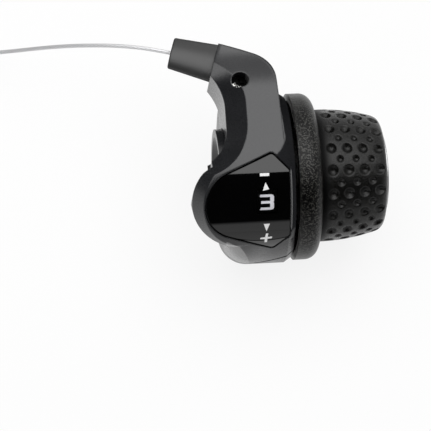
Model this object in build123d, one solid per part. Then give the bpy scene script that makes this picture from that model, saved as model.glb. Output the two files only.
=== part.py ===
from build123d import *
import math
import os

# Twist grip shifter for a bicycle's handlebar, in millimetres.
# +X runs along the bar towards its end, +Y points forwards and +Z up.
# The origin is on the bar's axis, under the window.
# An angle about the bar is measured from +Z towards the rider (-Y).

# Bar, sleeve and fits
bar_diameter = 22.2
bar_clearance = 0.1
sleeve_wall = 1.4
run_clearance = 0.05
moulding_clearance = 0.25
part_clearance = 0.3
cut_margin = 2.0

# Places along the bar
clamp_left = -10.3
clamp_width = 6.7
relief_width = 1.0
web_thickness = 1.4
web_radius = 18.5
housing_right = 10.8
ring_gap = 1.15
ring_width = 7.2
grip_length = 20.35
sleeve_overhang = 0.8

# Housing round the drum
housing_radius = 25.8
housing_wall = 2.2
left_round = 8.2
right_taper_length = 2.0
right_taper_drop = 1.3
parting_height = -3.1
parting_gap = 0.25

# Nose and window, on an axis tilted towards the rider
window_angle = 34.5
nose_x = -5.4
nose_radius = 14.1
nose_rim_radius = 11.0
nose_bevel_drop = 5.0
nose_floor_height = 13.0
nose_floor_thickness = 1.6
window_arc_radius = 10.2
window_apex_x = 4.1
window_apex_y = 14.5
window_right_x = 8.8
window_right_y = 10.0
window_corner_round = 1.2
lens_thickness = 1.2
lens_recess = 0.1
lens_gap = 0.55
lens_ledge = 1.2
mask_thickness = 0.5
digit_x = 2.2
digit_angle = 31.0
digit_opening_width = 7.0
digit_opening_height = 9.0

# Arm, seen from above, then from the side
arm_top_drop = 0.05
arm_right_x = 8.2
arm_bend_x = 7.1
arm_bend_y = 29.9
arm_bend_radius = 11.0
arm_left_x = -8.0
arm_left_end_y = 21.5
arm_left_round = 17.0
arm_end_outer = 5.8
arm_end_inner = 6.0
arm_flat_end_y = 16.0
arm_top_radius = 30.0
arm_root_turn = 33.0
arm_bottom_root_z = 1.5
arm_bottom_tip_z = 6.5
bevel_crease_x = -2.3
bevel_low_z = 19.5
hollow_x = -20.0
hollow_y = 10.0
hollow_radius = 12.0

# Cable outlet at the arm's end
outlet_x = -9.9
outlet_y = 32.4
outlet_z = 14.0
outlet_angle = 163.0
outlet_length = 13.2
outlet_root_radius = 5.75
outlet_tip_radius = 4.7
outlet_tip_round = 0.6
outlet_spigot_radius = 3.3
outlet_flange_radius = 4.2
outlet_flange_thickness = 1.4
casing_seat_radius = 2.6
casing_seat_depth = 9.0

# Inner wire and its guide
wire_diameter = 1.2
wire_hole_radius = 0.9
guide_radius = 1.9
guide_lead = 0.5
guide_seat_depth = 1.0
wire_bend_radius = 9.0

# Drum
wrap_radius = 16.0
wrap_angle = 25.0
pulley_x = 3.0
groove_width = 2.0
pulley_flange = 1.2
pulley_flange_height = 2.6
hub_wall = 1.6
click_room = 4.0
click_wheel_width = 2.5
notch_radius = 1.5
notch_depth = 0.9
gear_angle = 30.0
gear_count = 3
disc_thickness = 2.0
nipple_diameter = 4.0
thrust_washer_thickness = 0.7
thrust_washer_radius = 16.0

# Turning ring and grip
ring_radius = 25.2
ring_wall = 2.2
ring_round = 3.8
grip_root_radius = 20.0
grip_middle_radius = 19.6
grip_tip_radius = 17.8
grip_end_radius = 15.0
grip_end_round = 2.8
grip_rows = 18
grip_row_angle = 12.6
grip_first_dimple = 3.45
grip_dimple_pitch = 4.77
grip_dimples_per_row = 4
dimple_sides = 7
dimple_bottom_share = 0.4
dimple_radius = 1.45
dimple_depth = 0.95
small_dimple_radius = 1.0
small_dimple_depth = 0.65

# Gear scale that turns under the window
scale_thickness = 1.2
scale_margin_angle = 13.0

# Clamp and fasteners
clamp_radius = 15.4
clamp_chamfer = 2.0
clamp_slit = 2.0
lug_reach = 7.0
lug_height = 6.6
bolt_diameter = 4.0
bolt_head_diameter = 7.0
bolt_head_height = 4.0
bolt_socket = 3.0
nut_width = 7.0
nut_height = 3.2
screw_diameter = 3.0
screw_head_diameter = 4.8
screw_head_height = 2.0
screw_slot_width = 0.7
screw_slot_depth = 0.9
arm_screw_x = -3.35
arm_screw_y = 23.45
arm_screw_hole_diameter = 5.0
arm_screw_depth = 6.6
boss_wall = 1.2
base_screw_inset = 4.4
base_screw_wall = 4.2
base_screw_head_z = -9.0
base_screw_reach = 9.0
arm_plate_thickness = 1.6
arm_plate_start_y = 20.5

# Click spring
spring_thickness = 0.4
spring_width = 2.1
spring_drop = 1.9
spring_nose_half = 2.2
spring_tail = 4.0
spring_root = 8.6
rivet_y = 6.6
rivet_diameter = 1.6
rivet_head_diameter = 2.8
rivet_head_height = 0.6

# Ends of the sleeve
end_washer_thickness = 0.7
end_washer_radius = 13.9
snap_ring_thickness = 0.7
snap_ring_radius = 13.7
snap_groove_depth = 0.5
snap_ring_opening = 40.0

# Free wire: points chosen by hand, from the outlet down to the coil
free_route = [
    (-27.9, 37.75, 13.8),
    (-33.8, 39.2, 12.6),
    (-39.6, 40.6, 10.6),
    (-45.6, 42.0, 7.6),
    (-51.6, 43.6, 3.6),
    (-57.6, 45.2, -1.2),
    (-63.6, 46.8, -6.6),
    (-69.8, 48.3, -12.0),
    (-76.4, 49.4, -16.0),
    (-83.4, 49.9, -18.2),
]
bend_share = 0.45
coil_ring_radius = 15.0
coil_bundle_radius = 3.0
coil_x = -97.0
coil_entry_y = 50.0
tie_width = 3.0
tie_thickness = 0.4
tie_clearance = 0.3
tie_angles = (210.0, 330.0)

# Sizes that follow from the ones above
bore_radius = bar_diameter / 2 + bar_clearance
sleeve_radius = bore_radius + sleeve_wall
drum_bore = sleeve_radius + run_clearance
band_right = clamp_left + clamp_width
web_left = band_right + relief_width
web_right = web_left + web_thickness
ring_left = housing_right + ring_gap
ring_right = ring_left + ring_width
grip_end = ring_right + grip_length
sleeve_end = grip_end + sleeve_overhang
cavity_radius = housing_radius - housing_wall
click_wheel_radius = cavity_radius - click_room
base_screw_x = clamp_left + base_screw_inset
base_screw_y = base_screw_wall - cavity_radius
lens_outer = housing_radius - lens_recess
lens_inner = lens_outer - lens_thickness
mask_outer = lens_inner - run_clearance
mask_inner = mask_outer - mask_thickness
scale_outer = cavity_radius - 2 * part_clearance
scale_inner = scale_outer - scale_thickness
hub_left = web_right + thrust_washer_thickness + 2 * run_clearance
hub_radius = drum_bore + hub_wall
pulley_left = pulley_x - groove_width / 2 - pulley_flange
pulley_right = pulley_x + groove_width / 2 + pulley_flange
pulley_radius = wrap_radius + pulley_flange_height
groove_radius = wrap_radius - wire_diameter / 2 - part_clearance
click_right = pulley_right + click_wheel_width
disc_right = housing_right - 2 * run_clearance
disc_left = disc_right - disc_thickness
snap_ring_right = sleeve_end - run_clearance - part_clearance
snap_ring_left = snap_ring_right - snap_ring_thickness
end_washer_right = snap_ring_left - run_clearance
end_washer_left = end_washer_right - end_washer_thickness
core_end = end_washer_left - run_clearance
arm_top = housing_radius - arm_top_drop
outlet_neck = housing_wall + moulding_clearance
floor_height = -housing_radius
coil_height = floor_height + coil_bundle_radius + tie_clearance + tie_thickness

# Frames of the window, the outlet and the wire
tilt = math.radians(window_angle)
window_plane = Plane(
    origin=(0, 0, 0), x_dir=(1, 0, 0), z_dir=(0, -math.sin(tilt), math.cos(tilt))
)
outlet_turn = math.radians(outlet_angle)
outlet_way = Vector(math.cos(outlet_turn), math.sin(outlet_turn), 0)
outlet_side = Vector(math.sin(outlet_turn), -math.cos(outlet_turn), 0)
outlet_seam = Vector(outlet_x, outlet_y, outlet_z)
outlet_plane = Plane(origin=outlet_seam, x_dir=outlet_side, z_dir=outlet_way)
wire_exit = outlet_seam + outlet_way * outlet_length


def about_bar(radius, x_start, x_end):
    """Cylinder about the bar's axis."""
    middle = (x_start + x_end) / 2
    return Pos(middle, 0, 0) * Rot(0, 90, 0) * Cylinder(radius, x_end - x_start)


def bar_ring(inner, outer, x_start, x_end):
    """Ring about the bar's axis."""
    bore = about_bar(inner, x_start - cut_margin, x_end + cut_margin)
    return about_bar(outer, x_start, x_end) - bore


def turned(points):
    """Solid turned about the bar from (place, radius) points."""
    return revolve(make_face(Polyline(*points, close=True)), Axis.X, 360)


def turned_about(angle):
    """Turn about the bar, from the top towards the rider."""
    return Rot(angle, 0, 0)


def span_box(low, high):
    """Box between two corners."""
    size = [b - a for a, b in zip(low, high)]
    middle = [(a + b) / 2 for a, b in zip(low, high)]
    return Pos(*middle) * Box(*size)


def upright(radius, x, y, z_low, z_high):
    """Vertical cylinder."""
    return Pos(x, y, (z_low + z_high) / 2) * Cylinder(radius, z_high - z_low)


def along_outlet(radius, start, end):
    """Cylinder on the outlet's axis, measured outwards from the seam."""
    return outlet_plane * Pos(0, 0, (start + end) / 2) * Cylinder(radius, end - start)


def window_outline(grow):
    """Outline of the window, offset by grow."""
    apex = Vector(window_apex_x - nose_x, window_apex_y)
    spread = math.acos(window_arc_radius / apex.length)
    touch = math.atan2(apex.Y, apex.X) + spread
    touch_x = nose_x + window_arc_radius * math.cos(touch)
    touch_y = window_arc_radius * math.sin(touch)
    edge = Line((window_right_x, -window_right_y), (window_right_x, window_right_y))
    edge += Line((window_right_x, window_right_y), (window_apex_x, window_apex_y))
    edge += Line((window_apex_x, window_apex_y), (touch_x, touch_y))
    edge += ThreePointArc(
        (touch_x, touch_y), (nose_x - window_arc_radius, 0), (touch_x, -touch_y)
    )
    edge += Line((touch_x, -touch_y), (window_apex_x, -window_apex_y))
    edge += Line((window_apex_x, -window_apex_y), (window_right_x, -window_right_y))
    face = make_face(edge)
    corners = [v for v in face.vertices() if v.X > nose_x]
    face = fillet(corners, window_corner_round)
    if grow:
        face = offset(face, amount=grow, kind=Kind.INTERSECTION)
    return face


def window_prism(grow, inner, outer):
    """The window's outline as a curved plate between two radii about the bar."""
    prism = window_plane * Pos(0, 0, bore_radius) * extrude(
        window_outline(grow), amount=housing_radius
    )
    reach = nose_radius - nose_x + cut_margin
    return prism & bar_ring(inner, outer, -reach, reach)


def barrel_form(inset):
    """Turned form of the housing, its left edge rounded."""
    left = clamp_left + inset
    radius = housing_radius - inset
    right = housing_right + (cut_margin if inset else 0)
    taper = 0 if inset else right_taper_drop
    face = make_face(
        Polyline(
            (left, 0),
            (left, radius),
            (housing_right - right_taper_length, radius),
            (right, radius - taper),
            (right, 0),
            close=True,
        )
    )
    corner = face.vertices().sort_by_distance((left, radius, 0))[0]
    face = fillet(corner, left_round - inset)
    return revolve(face, Axis.X, 360)


def nose_form(inset):
    """Round nose on the window's axis with a bevelled rim."""
    top = housing_radius - inset
    face = make_face(
        Polyline(
            (0, nose_floor_height - (cut_margin if inset else 0)),
            (nose_radius - inset, nose_floor_height - (cut_margin if inset else 0)),
            (nose_radius - inset, top - nose_bevel_drop),
            (nose_rim_radius - inset, top),
            (0, top),
            close=True,
        )
    )
    nose = window_plane * Pos(nose_x, 0, 0) * revolve(Plane.XZ * face, Axis.Z, 360)
    reach = nose_radius - nose_x + cut_margin
    return (nose & about_bar(top, -reach, reach)) - beyond_nose_wall(inset)


def nose_wall_y(inset):
    """Middle of the nose's upright front wall, forward of the bar."""
    return -(housing_radius - inset - nose_bevel_drop) * math.sin(tilt)


def beyond_nose_wall(inset):
    """Space forward of the nose's upright front wall."""
    radius = nose_radius - inset - run_clearance
    middle_y = nose_wall_y(inset)
    reach = 2 * housing_radius
    column = extrude(Ellipse(radius, radius * math.cos(tilt)), amount=reach, both=True)
    ahead = span_box((-reach, middle_y, -reach), (reach, reach, reach))
    return ahead - Pos(nose_x, middle_y, 0) * column


def arm_plan(inset):
    """Outline of the arm from above."""
    outer = outlet_seam + outlet_side * arm_end_outer
    inner = outlet_seam - outlet_side * arm_end_inner
    face = make_face(
        Polyline(
            (arm_right_x, 0),
            (arm_bend_x, arm_bend_y),
            (outer.X, outer.Y),
            (inner.X, inner.Y),
            (arm_left_x, arm_left_end_y),
            (arm_left_x, 0),
            close=True,
        )
    )
    bend = face.vertices().sort_by_distance((arm_bend_x, arm_bend_y, 0))[0]
    face = fillet(bend, arm_bend_radius)
    inside = face.vertices().sort_by_distance((arm_left_x, arm_left_end_y, 0))[0]
    face = fillet(inside, arm_left_round)
    if inset:
        face = offset(face, amount=-inset, kind=Kind.INTERSECTION)
    return face


def arm_tip_y():
    """Forward end of the arm's side profile."""
    return (outlet_seam + outlet_side * arm_end_outer).Y + cut_margin


def arm_top_at(y, inset):
    """Height of the arm's top at a place forward of the bar."""
    radius = arm_top_radius - inset
    ahead = max(0.0, y - arm_flat_end_y)
    return arm_top - arm_top_radius + math.sqrt(radius**2 - ahead**2)


def arm_bottom_at(y):
    """Height of the arm's lower edge at a place forward of the bar."""
    share = y / arm_tip_y()
    return arm_bottom_root_z + share * (arm_bottom_tip_z - arm_bottom_root_z)


def arm_form(inset):
    """Arm with its curved top and its bevelled left edge."""
    tip = arm_tip_y()
    middle = (arm_flat_end_y + tip) / 2
    drop = part_clearance if inset else 0
    side = Line((0, arm_bottom_at(0) - drop), (0, arm_top_at(0, inset)))
    side += Line((0, arm_top_at(0, inset)), (arm_flat_end_y, arm_top_at(0, inset)))
    side += ThreePointArc(
        (arm_flat_end_y, arm_top_at(0, inset)),
        (middle, arm_top_at(middle, inset)),
        (tip, arm_top_at(tip, inset)),
    )
    side += Line((tip, arm_top_at(tip, inset)), (tip, arm_bottom_at(tip) - drop))
    side += Line((tip, arm_bottom_at(tip) - drop), (0, arm_bottom_at(0) - drop))
    slab = extrude(Plane.YZ * make_face(side), amount=housing_radius * 2, both=True)
    column = Pos(0, 0, -housing_radius) * extrude(
        arm_plan(inset), amount=2 * housing_radius
    )
    return slab & column


def rim_back_y(rise):
    """Place forward of the bar of a point that lies a rise above the window's middle."""
    return housing_radius * math.sin(math.asin(rise / housing_radius) - tilt)


def arm_root(inset):
    """Root of the arm, which fills the barrel's rounded corner as far as the nose's rim."""
    turn = math.radians(arm_root_turn)
    rim_x = nose_x - nose_rim_radius * math.sin(turn)
    rim_y = rim_back_y(nose_rim_radius * math.cos(turn))
    wall_x = nose_x - nose_radius * math.sin(turn)
    wall_y = nose_wall_y(0) + nose_radius * math.cos(tilt) * math.cos(turn)
    front = math.sqrt(housing_radius**2 - arm_top**2)
    plan = make_face(
        Polyline(
            (arm_right_x, rim_y),
            (arm_right_x, front),
            (arm_left_x + housing_wall, front),
            (arm_left_x + housing_wall, hollow_y - cut_margin),
            (wall_x, hollow_y - cut_margin),
            (wall_x, wall_y),
            (rim_x, rim_y),
            close=True,
        )
    )
    if inset:
        plan = offset(plan, amount=-inset, kind=Kind.INTERSECTION)
    reach = 2 * housing_radius
    column = Pos(0, 0, bore_radius - inset) * extrude(plan, amount=reach)
    return column & about_bar(housing_radius - inset, -reach, reach)


def bevel_slope():
    """Sideways run of the bevel for each millimetre of height."""
    return (bevel_crease_x - arm_left_x) / (arm_top - bevel_low_z)


def arm_bevel(inset):
    """Space above the arm's left wall, on a slope that follows the wall."""
    far = 4 * housing_radius
    inner = outlet_seam - outlet_side * arm_end_inner
    flare = Vector(inner.X - arm_left_x, inner.Y - arm_left_end_y).normalized() * far
    plan = make_face(
        Polyline(
            (arm_left_x, -far),
            (far, -far),
            (far, arm_left_end_y + flare.Y),
            (arm_left_x + flare.X, arm_left_end_y + flare.Y),
            (arm_left_x, arm_left_end_y),
            close=True,
        )
    )
    bend = plan.vertices().sort_by_distance((arm_left_x, arm_left_end_y, 0))[0]
    plan = fillet(bend, arm_left_round)
    if inset:
        plan = offset(plan, amount=-inset, kind=Kind.INTERSECTION)
    low = bevel_low_z - inset
    angle = math.degrees(math.atan(bevel_slope()))
    keep = Pos(0, 0, low) * extrude(plan, amount=housing_radius, taper=angle)
    reach = 2 * housing_radius
    return span_box((-reach, hollow_y, low), (reach, reach, reach - cut_margin)) - keep


def hollow_form(inset):
    """Concave corner between the arm and the nose, flared at its upper edge."""
    low = bevel_low_z - inset
    radius = hollow_radius + inset
    over = housing_radius - low + cut_margin
    face = make_face(
        Polyline(
            (0, -housing_radius - cut_margin),
            (radius, -housing_radius - cut_margin),
            (radius, low),
            (radius + over * bevel_slope(), low + over),
            (0, low + over),
            close=True,
        )
    )
    cone = Pos(hollow_x, hollow_y, 0) * revolve(Plane.XZ * face, Axis.Z, 360)
    reach = 2 * housing_radius
    return cone & span_box((-reach, -reach, -reach), (reach, hollow_y, reach))


def round_form(inset):
    """Barrel, cut back beside the arm."""
    reach = 2 * housing_radius
    return barrel_form(inset) - span_box(
        (-reach, hollow_y, -reach), (arm_left_x + inset, reach, reach)
    )


def cover_form(inset):
    """Upper form of the housing: barrel, arm and nose."""
    bevel = arm_bevel(inset)
    form = (round_form(inset) - bevel) + (arm_form(inset) - bevel) + arm_root(inset)
    return form + nose_form(inset) - hollow_form(inset)


def lower_form(inset):
    """Lower form of the housing."""
    return round_form(inset) - hollow_form(inset)


def screw_boss(x, y, z_low, z_high):
    """Solid boss for a cover screw."""
    return upright(screw_diameter / 2 + boss_wall, x, y, z_low, z_high)


def make_top_cover():
    outside = cover_form(0)
    cover = outside - cover_form(housing_wall)
    cut_height = parting_height + parting_gap
    reach = 4 * housing_radius
    cover = cover & span_box((-reach, -reach, cut_height), (reach, reach, reach))
    seat = arm_top_at(arm_screw_y, 0) - arm_screw_depth
    boss_foot = seat - boss_wall
    boss = upright(
        arm_screw_hole_diameter / 2 + boss_wall,
        arm_screw_x,
        arm_screw_y,
        boss_foot,
        housing_radius + cut_margin,
    )
    inside_skin = cover_form(housing_wall / 2)
    cover += boss & inside_skin
    cover += screw_boss(base_screw_x, base_screw_y, cut_height, housing_radius) & inside_skin
    cover -= upright(arm_screw_hole_diameter / 2, arm_screw_x, arm_screw_y, seat, reach)
    shank = screw_diameter / 2 + run_clearance
    cover -= upright(shank, arm_screw_x, arm_screw_y, -reach, reach)
    cover -= upright(
        shank, base_screw_x, base_screw_y, cut_height - cut_margin, base_screw_tip()
    )
    cover -= about_bar(
        clamp_radius + moulding_clearance, clamp_left - reach, web_right
    )
    cover -= window_prism(lens_gap, lens_inner, reach)
    cover -= window_prism(-lens_ledge, hub_radius, reach)
    flange_back = -outlet_neck - outlet_flange_thickness - moulding_clearance
    cover -= outlet_slot(outlet_spigot_radius, flange_back, cut_margin)
    cover -= swept(guided_path(), wire_diameter / 2 + run_clearance)
    return cover - outlet_slot(
        outlet_flange_radius, flange_back, moulding_clearance - outlet_neck
    )


def outlet_slot(radius, start, end):
    """Slot through which the outlet slides up into the cover."""
    wide = radius + moulding_clearance
    opening = Pos(0, 0, -housing_radius / 2) * Box(2 * wide, end - start, housing_radius)
    turn = Rot(0, 0, outlet_angle + 90)
    middle = outlet_seam + outlet_way * ((start + end) / 2)
    slot = Pos(middle.X, middle.Y, middle.Z) * turn * opening
    return slot + along_outlet(wide, start, end)


def base_screw_tip():
    """Height that the lower screw reaches to in the cover."""
    return base_screw_head_z + base_screw_reach + run_clearance


def make_base_housing():
    reach = 4 * housing_radius
    below = span_box((-reach, -reach, -reach), (reach, reach, parting_height))
    shell = (lower_form(0) - lower_form(housing_wall)) & below
    lug_bottom = -(clamp_radius + lug_height)
    access = lug_reach + bolt_head_height + nut_height
    shell -= span_box(
        (-reach, -access, -reach), (web_left, access, -clamp_radius + lug_height / 2)
    )
    shell -= about_bar(clamp_radius + moulding_clearance, -reach, band_right)
    web = bar_ring(bore_radius, cavity_radius + housing_wall / 2, web_left, web_right) & below
    web += bar_ring(bore_radius, web_radius, web_left, web_right)
    base = shell + web + bar_ring(bore_radius, sleeve_radius, web_left, sleeve_end)
    band = bar_ring(bore_radius, clamp_radius, clamp_left, band_right)
    link = bar_ring(bore_radius, clamp_radius, band_right - run_clearance, web_left)
    base += link & span_box((-reach, -reach, 0), (reach, reach, reach))
    lug = span_box(
        (clamp_left, -lug_reach, lug_bottom), (band_right, lug_reach, 0)
    ) - about_bar(bore_radius, -reach, reach)
    base += band + lug
    base += nose_floor()
    boss = screw_boss(base_screw_x, base_screw_y, -housing_radius, parting_height)
    base += boss & lower_form(housing_wall / 2)
    base += spring_pad()
    chamfer_face = [
        (clamp_left - run_clearance, 0),
        (clamp_left - run_clearance, bore_radius + clamp_chamfer),
        (clamp_left, bore_radius + clamp_chamfer),
        (clamp_left + clamp_chamfer, bore_radius),
        (clamp_left + clamp_chamfer, 0),
    ]
    base -= turned(chamfer_face)
    base -= span_box(
        (-reach, -clamp_slit / 2, -reach), (web_left, clamp_slit / 2, 0)
    )
    base -= bolt_bore()
    shank = screw_diameter / 2 + run_clearance
    base -= upright(shank, base_screw_x, base_screw_y, -reach, 0)
    base -= upright(
        screw_head_diameter / 2 + part_clearance,
        base_screw_x,
        base_screw_y,
        -reach,
        base_screw_head_z,
    )
    return base - snap_ring_groove() - rivet_hole()


def snap_ring_groove():
    """Groove near the sleeve's end."""
    return bar_ring(
        sleeve_radius - snap_groove_depth,
        sleeve_radius + cut_margin,
        snap_ring_left - run_clearance,
        snap_ring_right + run_clearance,
    )


def nose_floor():
    """Tongue of the base that closes the nose from below."""
    middle = nose_floor_height + nose_floor_thickness / 2
    slab = window_plane * Pos(nose_x, 0, middle) * Cylinder(nose_radius, nose_floor_thickness)
    inset = housing_wall + moulding_clearance
    floor = (slab & nose_form(inset)) - hollow_form(inset)
    reach = 2 * housing_radius
    boss_room = screw_diameter / 2 + boss_wall + moulding_clearance
    floor -= upright(boss_room, base_screw_x, base_screw_y, -reach, reach)
    return floor & span_box((-reach, -reach, -reach), (band_right, reach, reach))


def bolt_place():
    """Place of the clamp bolt's axis, which runs along Y."""
    return (clamp_left + clamp_width / 2, -(clamp_radius + lug_height / 2))


def across(radius, y_start, y_end):
    """Cylinder on the clamp bolt's axis."""
    x, z = bolt_place()
    return Pos(x, (y_start + y_end) / 2, z) * Rot(90, 0, 0) * Cylinder(
        radius, y_end - y_start
    )


def hexagon_along_bolt(width, y_start, y_end):
    """Hexagonal prism on the clamp bolt's axis."""
    x, z = bolt_place()
    corner = width / math.sqrt(3)
    prism = extrude(RegularPolygon(corner, 6), amount=y_end - y_start)
    return Pos(x, y_end, z) * Rot(90, 0, 0) * prism


def bolt_bore():
    """Bolt hole through both lugs."""
    return across(bolt_diameter / 2 + run_clearance, -2 * lug_reach, 2 * lug_reach)


def make_clamp_bolt():
    head = across(bolt_head_diameter / 2, -lug_reach - bolt_head_height, -lug_reach)
    shank_end = lug_reach + nut_height + wire_diameter
    bolt = head + across(bolt_diameter / 2, -lug_reach, shank_end)
    socket = hexagon_along_bolt(
        bolt_socket, -lug_reach - bolt_head_height, -lug_reach - bolt_head_height / 2
    )
    return bolt - socket


def make_clamp_nut():
    nut = hexagon_along_bolt(nut_width, lug_reach, lug_reach + nut_height)
    hole = across(bolt_diameter / 2 + run_clearance, 0, 2 * lug_reach)
    return nut - hole


def make_window_lens():
    return window_prism(0, lens_inner, lens_outer)


def make_window_mask():
    mask = window_prism(-lens_ledge - moulding_clearance, mask_inner, mask_outer)
    opening = turned_about(digit_angle) * span_box(
        (digit_x - digit_opening_width / 2, -digit_opening_height / 2, 0),
        (digit_x + digit_opening_width / 2, digit_opening_height / 2, housing_radius),
    )
    return mask - opening


def screw_with_cross(shank_end):
    """Pan-head screw that points down, its head's seat at height 0."""
    head = upright(screw_head_diameter / 2, 0, 0, 0, screw_head_height)
    screw = head + upright(screw_diameter / 2, 0, 0, shank_end, 0)
    half = screw_slot_width / 2
    long = screw_head_diameter / 3
    low = screw_head_height - screw_slot_depth
    high = screw_head_height + cut_margin
    screw -= span_box((-half, -long, low), (half, long, high))
    screw -= span_box((-long, -half, low), (long, half, high))
    return screw


def make_cover_screw():
    seat = arm_top_at(arm_screw_y, 0) - arm_screw_depth
    tip = arm_bottom_at(arm_screw_y) + arm_plate_thickness + part_clearance
    return Pos(arm_screw_x, arm_screw_y, seat) * screw_with_cross(tip - seat)


def make_base_screw():
    screw = Rot(180, 0, 0) * screw_with_cross(-base_screw_reach)
    return Pos(base_screw_x, base_screw_y, base_screw_head_z) * screw


def make_arm_plate():
    """Plate that closes the arm from below, with the cover screw's post."""
    inset = housing_wall + moulding_clearance
    reach = 2 * housing_radius
    plan = Pos(0, 0, -housing_radius) * extrude(arm_plan(inset), amount=reach)
    tip = arm_tip_y()
    lower = [(0, arm_bottom_at(0)), (tip, arm_bottom_at(tip))]
    upper = [(y, z + arm_plate_thickness) for y, z in reversed(lower)]
    profile = make_face(Polyline(*lower, *upper, close=True))
    slab = extrude(Plane.YZ * profile, amount=reach, both=True)
    ahead = span_box((-reach, arm_plate_start_y, -reach), (reach, reach, reach))
    notch = guide_radius + part_clearance
    plate = (slab & plan & ahead) - span_box(
        (pulley_x - notch, 0, -reach), (pulley_x + notch, housing_radius, reach)
    )
    seat = arm_top_at(arm_screw_y, 0) - arm_screw_depth
    post_top = seat - boss_wall - run_clearance
    foot = arm_bottom_at(arm_screw_y)
    post = screw_boss(arm_screw_x, arm_screw_y, foot, post_top)
    plate += post & cover_form(inset)
    return plate - upright(
        screw_diameter / 2 + run_clearance,
        arm_screw_x,
        arm_screw_y,
        foot + arm_plate_thickness,
        reach,
    )


def make_cable_outlet():
    profile = Polyline(
        (0, 0),
        (outlet_root_radius, 0),
        (outlet_tip_radius, outlet_length),
        (0, outlet_length),
        close=True,
    )
    face = make_face(profile)
    rim = face.vertices().sort_by_distance((outlet_tip_radius, outlet_length, 0))[0]
    face = fillet(rim, outlet_tip_round)
    tube = outlet_plane * revolve(Plane.XZ * face, Axis.Z, 360)
    seat_start = -outlet_neck - outlet_flange_thickness
    tube += along_outlet(outlet_spigot_radius, -outlet_neck, 0)
    tube += along_outlet(outlet_flange_radius, seat_start, -outlet_neck)
    tube -= along_outlet(
        casing_seat_radius, outlet_length - casing_seat_depth, outlet_length + cut_margin
    )
    tube -= along_outlet(wire_hole_radius, -2 * outlet_neck, outlet_length)
    return tube - along_outlet(
        guide_radius + run_clearance, seat_start - cut_margin, seat_start + guide_seat_depth
    )


def wire_corner():
    """Point where the wire's straight runs would meet in the elbow."""
    along = (pulley_x - outlet_x) / outlet_way.X
    return outlet_seam + outlet_way * along


def wire_tangent_angle():
    """Angle in the YZ plane, from +Y, at which the wire leaves the drum."""
    corner = wire_corner()
    distance = math.hypot(corner.Y, corner.Z)
    return math.atan2(corner.Z, corner.Y) - math.acos(wrap_radius / distance)


def drum_point(angle):
    """Point of the wire's line on the drum, by its angle from +Y."""
    return Vector(pulley_x, wrap_radius * math.cos(angle), wrap_radius * math.sin(angle))


def swept(path, radius):
    """Round bar along a path."""
    section = Plane(origin=path @ 0, z_dir=path % 0) * Circle(radius)
    return sweep(section, path)


def guided_path():
    """Line of the wire from the drum to the outlet's end."""
    start = drum_point(wire_tangent_angle())
    return FilletPolyline(start, wire_corner(), wire_exit, radius=wire_bend_radius)


def make_inner_wire_guided():
    return swept(guided_path(), wire_diameter / 2)


def make_cable_guide():
    corner = wire_corner()
    start = drum_point(wire_tangent_angle())
    seat = outlet_neck + outlet_flange_thickness - guide_seat_depth
    end = outlet_seam - outlet_way * seat
    way_in = (corner - start).normalized()
    turn = math.radians(way_in.get_angle(outlet_way))
    setback = wire_bend_radius * math.tan(turn / 2) + guide_lead
    path = FilletPolyline(corner - way_in * setback, corner, end, radius=wire_bend_radius)
    return swept(path, guide_radius) - swept(path, wire_hole_radius)


def make_inner_wire_wound():
    leave = wire_tangent_angle() - part_clearance / wrap_radius
    nipple = wire_tangent_angle() - math.radians(wrap_angle)
    stop = nipple + (nipple_diameter / 2 + run_clearance) / wrap_radius
    path = ThreePointArc(drum_point(leave), drum_point((leave + stop) / 2), drum_point(stop))
    return swept(path, wire_diameter / 2)


def nipple_solid(grow):
    """Wire end across the drum's groove, with an allowance."""
    centre = drum_point(wire_tangent_angle() - math.radians(wrap_angle))
    length = pulley_right - pulley_left
    return Pos(centre.X, centre.Y, centre.Z) * Rot(0, 90, 0) * Cylinder(
        nipple_diameter / 2 + grow, length + 2 * grow
    )


def make_cable_nipple():
    return nipple_solid(0)


def make_twist_drum():
    profile = [
        (hub_left, drum_bore),
        (hub_left, hub_radius),
        (pulley_left, hub_radius),
        (pulley_left, pulley_radius),
        (pulley_x - groove_width / 2, pulley_radius),
        (pulley_x - groove_width / 2, groove_radius),
        (pulley_x + groove_width / 2, groove_radius),
        (pulley_x + groove_width / 2, pulley_radius),
        (pulley_right, pulley_radius),
        (pulley_right, click_wheel_radius),
        (click_right, click_wheel_radius),
        (click_right, hub_radius),
        (disc_left, hub_radius),
        (disc_left, scale_outer),
        (disc_right, scale_outer),
        (disc_right, hub_radius),
        (ring_right - ring_wall, hub_radius),
        (ring_right - ring_wall, ring_radius - ring_wall),
        (ring_left, ring_radius - ring_wall),
        (ring_left, ring_radius),
        (ring_right, ring_radius),
        (ring_right, hub_radius),
        (core_end, hub_radius),
        (core_end, drum_bore),
    ]
    face = make_face(Polyline(*profile, close=True))
    edge = face.vertices().sort_by_distance((ring_right, ring_radius, 0))[0]
    face = fillet(edge, ring_round)
    drum = revolve(face, Axis.X, 360)
    for gear in range(gear_count):
        centre = click_wheel_radius + notch_radius - notch_depth
        notch = Pos((pulley_right + click_right) / 2, 0, centre) * Rot(0, 90, 0) * Cylinder(
            notch_radius, click_wheel_width
        )
        drum -= turned_about(180 + gear * gear_angle) * notch
    return drum - nipple_solid(run_clearance)


def grip_profile():
    """Outside of the grip as (place, radius) points, from the ring to the end."""
    root = ring_right + run_clearance
    tip = grip_end - grip_end_round
    bend = math.sqrt(0.5)
    return [
        (root, grip_root_radius),
        ((root + tip) / 2, grip_middle_radius),
        (tip, grip_tip_radius),
        (
            tip + bend * grip_end_round,
            grip_end_radius + bend * (grip_tip_radius - grip_end_radius),
        ),
        (grip_end, grip_end_radius),
    ]


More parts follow.
